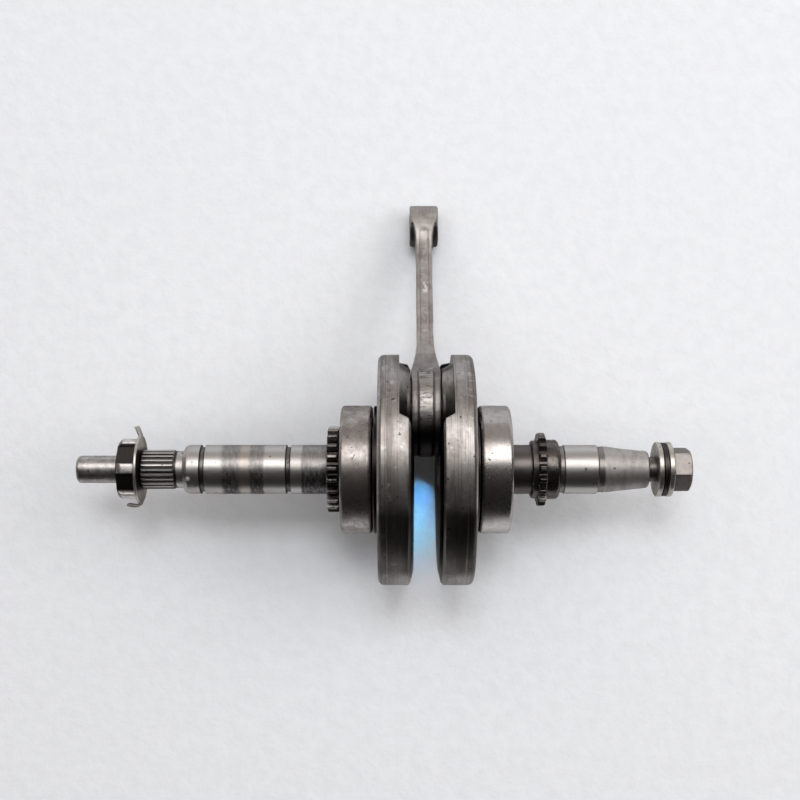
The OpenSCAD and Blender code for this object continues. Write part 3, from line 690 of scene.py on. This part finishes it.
def bent_tab_washer():
    """Sheet washer with one ear folded along the nut and the other only half bent."""
    low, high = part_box("tab_washer")
    sheet, outer, ease = 1.0 * MM, 13.9 * MM, 0.15 * MM
    half, half_ear = sheet / 2, 3.0 * MM
    ear_root = 11.0 * MM
    mid = high.x - half
    back = high.x - sheet
    bm = bmesh.new()
    add_spun(bm, [(high.x, NUT_BORE + ease), (high.x, outer - ease), (high.x - ease, outer),
                  (back + ease, outer), (back, outer - ease), (back, NUT_BORE + ease),
                  (back + ease, NUT_BORE), (high.x - ease, NUT_BORE)], True)
    folded = [Vector((mid, -ear_root)), Vector((mid, low.y + half + 1.3 * MM))]
    folded += bend(folded[-1], -90, -90, 1.25 * MM)[1:]
    edge_y = folded[-1].y
    folded += [Vector((low.x + 2.2 * MM, edge_y)), Vector((low.x + 0.02 * MM, edge_y + 0.45 * MM))]
    add_strip(bm, folded, half_ear, half * 0.96, ease)
    raised = [Vector((mid, ear_root)), Vector((mid, 13.4 * MM))]
    raised += bend(raised[-1], 90, 24, 2.0 * MM)[1:]
    last = raised[-1]
    lean = math.radians(90 + 24)
    slope = Vector((math.cos(lean), math.sin(lean)))
    reach = (high.y - 0.35 * MM - last.y) / slope.y
    raised += [last + slope * reach * 0.5, last + slope * reach]
    add_strip(bm, raised, half_ear, half * 0.92, ease)
    return bm_mesh("bent_tab_washer", bm)


def split_spring_washer():
    """Open helical ring of square wire."""
    low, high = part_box("spring_washer")
    inner, outer = 5.3 * MM, high.z - 0.15 * MM
    lead, ease, steps = 0.45 * MM, 0.2 * MM, 160
    start, sweep = math.radians(184), math.radians(352)
    wide = high.x - low.x - lead
    section = [(0, inner + ease), (ease, inner), (wide - ease, inner), (wide, inner + ease),
               (wide, outer - ease), (wide - ease, outer), (ease, outer), (0, outer - ease)]
    bm = bmesh.new()
    rings = []
    for i in range(steps + 1):
        a = start + sweep * i / steps
        x0 = low.x + lead * i / steps
        rings.append([bm.verts.new((x0 + u, r * math.cos(a), r * math.sin(a))) for u, r in section])
    add_skin(bm, rings)
    return bm_mesh("split_spring_washer", bm)


def thread_rows(low_x, end_x, major):
    """Rows of a cut thread from low_x to end_x, running in at its tip and out at its end."""
    depth, pitch, tip_drop = 0.72 * MM, 1.25 * MM, 1.0 * MM
    run_in_length, run_out_length = 1.0 * MM, 1.2 * MM
    turns = turn_angles() / (2 * math.pi)
    rows = []
    x = low_x + 0.12 * MM
    while x < end_x:
        phase = (x / pitch - turns) % 1
        groove = np.clip(1.15 - np.abs(phase - 0.5) * 3.2, 0, 1)
        run_in = min(1.0, (x - low_x) / run_in_length)
        run_out = min(1.0, (end_x - x) / run_out_length)
        tip = major - tip_drop * (1 - run_in)
        rows.append((x, capped(major - depth * groove * run_out, tip)))
        x += pitch / 12
    return rows


def threaded_bolt():
    """Hexagon bolt with a cut thread, a washer face and a chamfered head."""
    low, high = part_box("flywheel_bolt")
    major, shank, head, across = 5.0 * MM, 10.2 * MM, 7.8 * MM, 8.0 * MM
    face_step, corner_ease = 0.45 * MM, 0.08 * MM
    inner_chamfer = ((0.5, 0.55), (0.62, 1.25))
    outer_chamfer = ((1.05, 1.25), (0.75, 0.8), (0.5, 0.35), (0.22, -0.2), (0.08, -0.5), (0.0, -0.9))
    head_in = high.x - head
    off = from_sixth(math.radians(11))
    hexagon = capped(across / np.cos(off), across / math.cos(math.pi / 6) - corner_ease)
    rows = [(low.x, major - 1.3 * MM)] + thread_rows(low.x, head_in - shank, major)
    rows += [(head_in - shank + 0.1 * MM, major), (head_in, major), (head_in, across - 0.25 * MM),
             (head_in + face_step, capped(hexagon, across - 0.15 * MM))]
    rows += [(head_in + u * MM, capped(hexagon, across + limit * MM)) for u, limit in inner_chamfer]
    rows += [(high.x - u * MM, capped(hexagon, across + limit * MM)) for u, limit in outer_chamfer]
    rows += [(high.x - 0.25 * MM, across - 2.2 * MM), (high.x - 0.32 * MM, 1.0 * MM)]
    return spun_mesh("threaded_bolt", rows, looped=False)


def helper(mesh):
    """A working object, to be used up by baked() or removed."""
    obj = bpy.data.objects.new("helper", mesh)
    bpy.context.scene.collection.objects.link(obj)
    return obj


def baked(obj):
    """The object's mesh with its modifiers applied; the object itself goes."""
    graph = bpy.context.evaluated_depsgraph_get()
    mesh = bpy.data.meshes.new_from_object(obj.evaluated_get(graph))
    bpy.data.objects.remove(obj)
    return mesh


def cut(obj, tool):
    modifier = obj.modifiers.new("cut", "BOOLEAN")
    modifier.operation = "DIFFERENCE"
    modifier.solver = "EXACT"
    modifier.object = tool


def ring_mesh(name, rings):
    """A closed skin through equal rings of points."""
    bm = bmesh.new()
    add_skin(bm, [[bm.verts.new(point) for point in ring] for ring in rings])
    return bm_mesh(name, bm)


def blend_eye(mesh):
    """Adds the flare by which the beam widens onto the small end; the new skin joins the two."""
    eye = Vector(EYE_AT)
    along = (eye - Vector(PIN_AT)).normalized()
    across = Vector((0, -along.z, along.y))
    # Place along the rod from the eye's middle, then half its size along X and across, in millimetres
    sections = [(-13.6, 3.38, 6.3), (-10.2, 3.62, 7.2), (-7.4, 3.95, 8.2), (-5.2, 4.4, 8.6),
                (-3.4, 4.95, 8.76), (-1.8, 5.55, 8.84), (0.0, 6.05, 8.88)]
    clearance, half_length = 6.6 * MM, 8 * MM
    rings = []
    for place, half_x, half_across in sections:
        middle = eye + along * place * MM
        corners = [(-half_x, -half_across), (half_x, -half_across), (half_x, half_across),
                   (-half_x, half_across)]
        rings.append([middle + Vector((u * MM, 0, 0)) + across * v * MM for u, v in corners])
    turn = np.linspace(0, 2 * math.pi, 96, endpoint=False)
    ends = [[eye + Vector((x, clearance * math.cos(a), clearance * math.sin(a))) for a in turn]
            for x in (-half_length, half_length)]
    flare, bore = helper(ring_mesh("flare", rings)), helper(ring_mesh("bore", ends))
    cut(flare, bore)
    flare = baked(flare)
    bpy.data.objects.remove(bore)
    joined = bmesh.new()
    joined.from_mesh(mesh)
    joined.from_mesh(flare)
    joined.to_mesh(mesh)
    joined.free()


def snap(co, centre, radius, slack, half, away=None):
    """Draws the points near a cylinder about an X axis exactly onto it, all round or on the side away."""
    y, z = co[:, 1] - centre[1], co[:, 2] - centre[2]
    d = np.hypot(y, z)
    near = (np.abs(d - radius) < slack) & (np.abs(co[:, 0]) < half)
    if away is not None:
        near &= (y * away[1] + z * away[2]) < 0.15 * d * np.hypot(away[1], away[2])
    co[near, 1] = centre[1] + y[near] / d[near] * radius
    co[near, 2] = centre[2] + z[near] / d[near] * radius


def vertex_values(mesh, name):
    values = np.empty(len(mesh.vertices) * 3)
    mesh.vertices.foreach_get(name, values)
    return values.reshape(-1, 3)


def forged_rod():
    """The rod as a forging: eased corners and a hammered skin, its two bores left true."""
    work = helper(frame["nodes"]["connecting_rod"].data.copy())
    blend_eye(work.data)
    remesh = work.modifiers.new("skin", "REMESH")
    remesh.mode = "VOXEL"
    remesh.voxel_size = 0.38 * MM
    ease = work.modifiers.new("ease", "SMOOTH")
    ease.factor = 0.5
    ease.iterations = 3
    mesh = baked(work)
    co = vertex_values(mesh, "co")
    normals = vertex_values(mesh, "normal")
    skin_scale, skin_depth = 420, 0.07 * MM
    skin = np.array([noise.fractal(Vector(p) * skin_scale, 1.0, 2.0, 3) for p in co])
    co -= normals * (np.clip(skin + 0.6, 0, 1.6) * skin_depth)[:, None]
    pin, eye = np.array(PIN_AT), np.array(EYE_AT)
    snap(co, pin, BIG_END_BORE, slack=0.5 * MM, half=5.6 * MM)
    snap(co, eye, SMALL_END_BORE, slack=0.5 * MM, half=5.9 * MM)
    snap(co, pin, BIG_END_RIB, slack=0.42 * MM, half=2.3 * MM, away=eye - pin)
    low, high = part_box("connecting_rod")
    co[:] = np.clip(co, np.array(low), np.array(high))
    mesh.vertices.foreach_set("co", co.ravel())
    mesh.update()
    return mesh


# ---------------------------------------------------------------- assembly
FINISHES = steels()
for node_name, node_slot in SLOT_OF.items():
    dress(frame["nodes"][node_name], FINISHES[node_slot])

piece("rod_forging", forged_rod(), "connecting_rod", "rod")
piece("oil_pump_gear", oil_pump_gear(), "oil_pump_drive_gear", "crank")
piece("timing_wheel", timing_wheel(), "timing_sprocket", "crank")
piece("slotted_nut", slotted_nut(), "lock_nut", "crank")
piece("bent_tab_washer", bent_tab_washer(), "tab_washer", "crank")
piece("split_spring_washer", split_spring_washer(), "spring_washer", "crank")
piece("threaded_bolt", threaded_bolt(), "flywheel_bolt", "crank")


# ---------------------------------------------------------------- stage
def pale_floor():
    """A pale, faintly woven cloth."""
    bpy.ops.mesh.primitive_plane_add(size=FLOOR_SIZE, location=(0, 0, FLOOR_Z))
    floor = bpy.context.object
    floor.name = "floor"
    g = Graph("floor")
    g.position()
    weave = g.noise(g.coord, 150, 4, 0.6)
    color = g.mix(g.ramp(weave, 0.3, 0.7), FLOOR_LOW, FLOOR_HIGH)
    flat = g.node("ShaderNodeNewGeometry").outputs["Normal"]
    dress(floor, g.finish(color, 0.9, g.bump(weave, 1.2 * MM, flat, 0.35), metallic=0.0))


def area(name, tilt, distance, size_x, size_y, power, color, seen=False, spread=180, aim_y=0.0,
         across=0.0):
    """A panel light over the part, tilted towards +Y and moved across in x.

    A seen one shines only in the metal; the others light only matte surfaces, which is the floor.
    """
    data = bpy.data.lights.new(name, "AREA")
    data.shape = "RECTANGLE"
    data.size = size_x
    data.size_y = size_y
    data.energy = power
    data.color = color
    data.spread = math.radians(spread)
    light = bpy.data.objects.new(name, data)
    light.visible_glossy = seen
    light.visible_diffuse = not seen
    bpy.context.scene.collection.objects.link(light)
    angle = math.radians(tilt)
    arm = Vector((across, distance * math.sin(angle), distance * math.cos(angle)))
    light.location = arm + Vector((0, aim_y, 0))
    light.rotation_euler = (-arm).to_track_quat("-Z", "Y").to_euler()


# Colour of the room from in front of the part (0, -Y) to behind it (1, +Y)
ROOM = ((0.0, (0.022, 0.0215, 0.022)), (0.15, (0.025, 0.024, 0.024)), (0.35, (0.036, 0.034, 0.034)),
        (0.5, (0.06, 0.056, 0.055)), (0.62, (0.13, 0.12, 0.115)), (0.85, (0.32, 0.285, 0.265)),
        (1.0, (0.50, 0.465, 0.445)))


def surroundings():
    """A dim room: dark in front and overhead, brownish grey behind the part."""
    world = bpy.data.worlds.new("studio")
    bpy.context.scene.world = world
    world.use_nodes = True
    tree = world.node_tree
    background = tree.nodes["Background"]
    coord = tree.nodes.new("ShaderNodeTexCoord")
    split = tree.nodes.new("ShaderNodeSeparateXYZ")
    ramp = tree.nodes.new("ShaderNodeValToRGB")
    spread = tree.nodes.new("ShaderNodeMapRange")
    spread.inputs[1].default_value = -1
    tree.links.new(coord.outputs["Generated"], split.inputs[0])
    tree.links.new(split.outputs[1], spread.inputs[0])
    tree.links.new(spread.outputs[0], ramp.inputs[0])
    tree.links.new(ramp.outputs[0], background.inputs[0])
    stops = ramp.color_ramp.elements
    for place, _ in ROOM[1:-1]:
        stops.new(place)
    for stop, (_, color) in zip(stops, ROOM):
        stop.color = (*color, 1)


def camera_above():
    data = bpy.data.cameras.new("camera")
    data.lens = CAMERA_LENS
    data.sensor_width = CAMERA_SENSOR
    camera = bpy.data.objects.new("camera", data)
    camera.location = CAMERA_AT
    bpy.context.scene.collection.objects.link(camera)
    bpy.context.scene.camera = camera


pale_floor()
area("key", tilt=32.5, distance=1.2, size_x=2.2, size_y=0.66, power=12.4, color=(1.0, 0.98, 0.965),
     seen=True)
area("side", tilt=20, distance=1.1, size_x=1.1, size_y=1.1, power=12.4, color=(1.0, 0.99, 0.985),
     across=1.35)
area("fill", tilt=14, distance=2.0, size_x=4.4, size_y=2.6, power=46, color=(1.0, 0.99, 0.985))
area("strip", tilt=22, distance=1.5, size_x=0.45, size_y=0.3, power=7.8, color=(0.93, 0.97, 1.0))
area("glow", tilt=13.5, distance=0.8, size_x=0.05, size_y=0.04, power=0.0062, color=(0.22, 0.6, 1.0),
     spread=3, aim_y=-10 * MM)
surroundings()
camera_above()
bpy.context.scene.view_settings.view_transform = "Standard"
